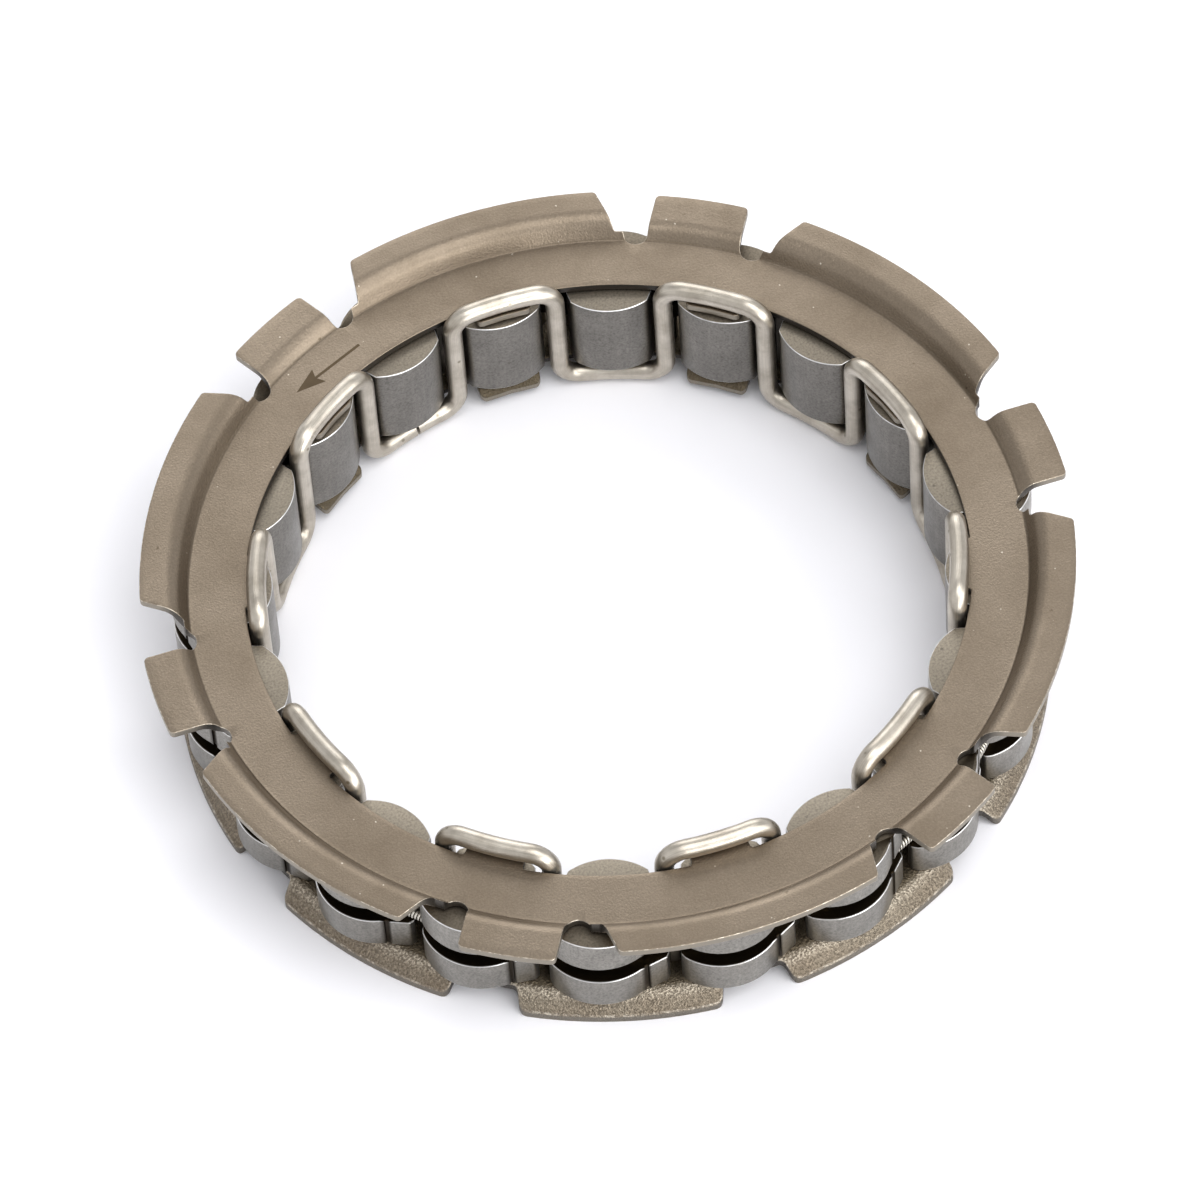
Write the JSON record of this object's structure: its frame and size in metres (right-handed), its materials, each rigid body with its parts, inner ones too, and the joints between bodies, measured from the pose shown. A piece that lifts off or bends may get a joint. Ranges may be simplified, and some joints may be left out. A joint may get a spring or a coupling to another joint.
{
  "type": "sprag clutch",
  "caption": "One-way sprag clutch insert: tilting sprags held between two joggled sheet plates, with a serpentine retainer wire and a garter spring.",
  "frame": {"origin": "on the shaft's axis, at the underside of the lower plate's lobes", "axes": "+Z along the shaft towards the upper plate; +Y through the middle of one wide lobe of the upper plate; the arrow's free way round is counter-clockwise seen from +Z"},
  "size_m": [0.0808, 0.08, 0.0141],
  "materials": {
    "cage_plate": "satin pressed sheet, slightly bronze",
    "sprag": "ground and hardened, satin",
    "wire": "drawn wire, satin",
    "spring": "drawn spring wire, dull"
  },
  "bodies": {
    "cage": {"upper_cage_plate": "cage_plate", "lower_cage_plate": "cage_plate", "retainer_wire": "wire", "garter_spring": "spring"},
    "sprag_01": {"sprag_01": "sprag"},
    "sprag_02": {"sprag_02": "sprag"},
    "sprag_03": {"sprag_03": "sprag"},
    "sprag_04": {"sprag_04": "sprag"},
    "sprag_05": {"sprag_05": "sprag"},
    "sprag_06": {"sprag_06": "sprag"},
    "sprag_07": {"sprag_07": "sprag"},
    "sprag_08": {"sprag_08": "sprag"},
    "sprag_09": {"sprag_09": "sprag"},
    "sprag_10": {"sprag_10": "sprag"},
    "sprag_11": {"sprag_11": "sprag"},
    "sprag_12": {"sprag_12": "sprag"},
    "sprag_13": {"sprag_13": "sprag"},
    "sprag_14": {"sprag_14": "sprag"},
    "sprag_15": {"sprag_15": "sprag"},
    "sprag_16": {"sprag_16": "sprag"},
    "sprag_17": {"sprag_17": "sprag"},
    "sprag_18": {"sprag_18": "sprag"},
    "sprag_19": {"sprag_19": "sprag"},
    "sprag_20": {"sprag_20": "sprag"}
  },
  "joints": [
    {"name": "sprag_01_tilt", "type": "hinge", "parent": "cage", "child": "sprag_01", "pos_m": [0, 0.0333, 0.00695], "axis": [0, 0, 1], "range_deg": [-6, 2], "stiffness_Nm_per_rad": 0.001},
    {"name": "sprag_02_tilt", "type": "hinge", "parent": "cage", "child": "sprag_02", "pos_m": [-0.01029, 0.03167, 0.00695], "axis": [0, 0, 1], "range_deg": [-6, 2], "stiffness_Nm_per_rad": 0.001},
    {"name": "sprag_03_tilt", "type": "hinge", "parent": "cage", "child": "sprag_03", "pos_m": [-0.01957, 0.02694, 0.00695], "axis": [0, 0, 1], "range_deg": [-6, 2], "stiffness_Nm_per_rad": 0.001},
    {"name": "sprag_04_tilt", "type": "hinge", "parent": "cage", "child": "sprag_04", "pos_m": [-0.02694, 0.01957, 0.00695], "axis": [0, 0, 1], "range_deg": [-6, 2], "stiffness_Nm_per_rad": 0.001},
    {"name": "sprag_05_tilt", "type": "hinge", "parent": "cage", "child": "sprag_05", "pos_m": [-0.03167, 0.01029, 0.00695], "axis": [0, 0, 1], "range_deg": [-6, 2], "stiffness_Nm_per_rad": 0.001},
    {"name": "sprag_06_tilt", "type": "hinge", "parent": "cage", "child": "sprag_06", "pos_m": [-0.0333, 0, 0.00695], "axis": [0, 0, 1], "range_deg": [-6, 2], "stiffness_Nm_per_rad": 0.001},
    {"name": "sprag_07_tilt", "type": "hinge", "parent": "cage", "child": "sprag_07", "pos_m": [-0.03167, -0.01029, 0.00695], "axis": [0, 0, 1], "range_deg": [-6, 2], "stiffness_Nm_per_rad": 0.001},
    {"name": "sprag_08_tilt", "type": "hinge", "parent": "cage", "child": "sprag_08", "pos_m": [-0.02694, -0.01957, 0.00695], "axis": [0, 0, 1], "range_deg": [-6, 2], "stiffness_Nm_per_rad": 0.001},
    {"name": "sprag_09_tilt", "type": "hinge", "parent": "cage", "child": "sprag_09", "pos_m": [-0.01957, -0.02694, 0.00695], "axis": [0, 0, 1], "range_deg": [-6, 2], "stiffness_Nm_per_rad": 0.001},
    {"name": "sprag_10_tilt", "type": "hinge", "parent": "cage", "child": "sprag_10", "pos_m": [-0.01029, -0.03167, 0.00695], "axis": [0, 0, 1], "range_deg": [-6, 2], "stiffness_Nm_per_rad": 0.001},
    {"name": "sprag_11_tilt", "type": "hinge", "parent": "cage", "child": "sprag_11", "pos_m": [0, -0.0333, 0.00695], "axis": [0, 0, 1], "range_deg": [-6, 2], "stiffness_Nm_per_rad": 0.001},
    {"name": "sprag_12_tilt", "type": "hinge", "parent": "cage", "child": "sprag_12", "pos_m": [0.01029, -0.03167, 0.00695], "axis": [0, 0, 1], "range_deg": [-6, 2], "stiffness_Nm_per_rad": 0.001},
    {"name": "sprag_13_tilt", "type": "hinge", "parent": "cage", "child": "sprag_13", "pos_m": [0.01957, -0.02694, 0.00695], "axis": [0, 0, 1], "range_deg": [-6, 2], "stiffness_Nm_per_rad": 0.001},
    {"name": "sprag_14_tilt", "type": "hinge", "parent": "cage", "child": "sprag_14", "pos_m": [0.02694, -0.01957, 0.00695], "axis": [0, 0, 1], "range_deg": [-6, 2], "stiffness_Nm_per_rad": 0.001},
    {"name": "sprag_15_tilt", "type": "hinge", "parent": "cage", "child": "sprag_15", "pos_m": [0.03167, -0.01029, 0.00695], "axis": [0, 0, 1], "range_deg": [-6, 2], "stiffness_Nm_per_rad": 0.001},
    {"name": "sprag_16_tilt", "type": "hinge", "parent": "cage", "child": "sprag_16", "pos_m": [0.0333, 0, 0.00695], "axis": [0, 0, 1], "range_deg": [-6, 2], "stiffness_Nm_per_rad": 0.001},
    {"name": "sprag_17_tilt", "type": "hinge", "parent": "cage", "child": "sprag_17", "pos_m": [0.03167, 0.01029, 0.00695], "axis": [0, 0, 1], "range_deg": [-6, 2], "stiffness_Nm_per_rad": 0.001},
    {"name": "sprag_18_tilt", "type": "hinge", "parent": "cage", "child": "sprag_18", "pos_m": [0.02694, 0.01957, 0.00695], "axis": [0, 0, 1], "range_deg": [-6, 2], "stiffness_Nm_per_rad": 0.001},
    {"name": "sprag_19_tilt", "type": "hinge", "parent": "cage", "child": "sprag_19", "pos_m": [0.01957, 0.02694, 0.00695], "axis": [0, 0, 1], "range_deg": [-6, 2], "stiffness_Nm_per_rad": 0.001},
    {"name": "sprag_20_tilt", "type": "hinge", "parent": "cage", "child": "sprag_20", "pos_m": [0.01029, 0.03167, 0.00695], "axis": [0, 0, 1], "range_deg": [-6, 2], "stiffness_Nm_per_rad": 0.001}
  ],
  "couplings": [
    {"joint": "sprag_02_tilt", "follows": "sprag_01_tilt", "ratio": 1},
    {"joint": "sprag_03_tilt", "follows": "sprag_01_tilt", "ratio": 1},
    {"joint": "sprag_04_tilt", "follows": "sprag_01_tilt", "ratio": 1},
    {"joint": "sprag_05_tilt", "follows": "sprag_01_tilt", "ratio": 1},
    {"joint": "sprag_06_tilt", "follows": "sprag_01_tilt", "ratio": 1},
    {"joint": "sprag_07_tilt", "follows": "sprag_01_tilt", "ratio": 1},
    {"joint": "sprag_08_tilt", "follows": "sprag_01_tilt", "ratio": 1},
    {"joint": "sprag_09_tilt", "follows": "sprag_01_tilt", "ratio": 1},
    {"joint": "sprag_10_tilt", "follows": "sprag_01_tilt", "ratio": 1},
    {"joint": "sprag_11_tilt", "follows": "sprag_01_tilt", "ratio": 1},
    {"joint": "sprag_12_tilt", "follows": "sprag_01_tilt", "ratio": 1},
    {"joint": "sprag_13_tilt", "follows": "sprag_01_tilt", "ratio": 1},
    {"joint": "sprag_14_tilt", "follows": "sprag_01_tilt", "ratio": 1},
    {"joint": "sprag_15_tilt", "follows": "sprag_01_tilt", "ratio": 1},
    {"joint": "sprag_16_tilt", "follows": "sprag_01_tilt", "ratio": 1},
    {"joint": "sprag_17_tilt", "follows": "sprag_01_tilt", "ratio": 1},
    {"joint": "sprag_18_tilt", "follows": "sprag_01_tilt", "ratio": 1},
    {"joint": "sprag_19_tilt", "follows": "sprag_01_tilt", "ratio": 1},
    {"joint": "sprag_20_tilt", "follows": "sprag_01_tilt", "ratio": 1}
  ]
}
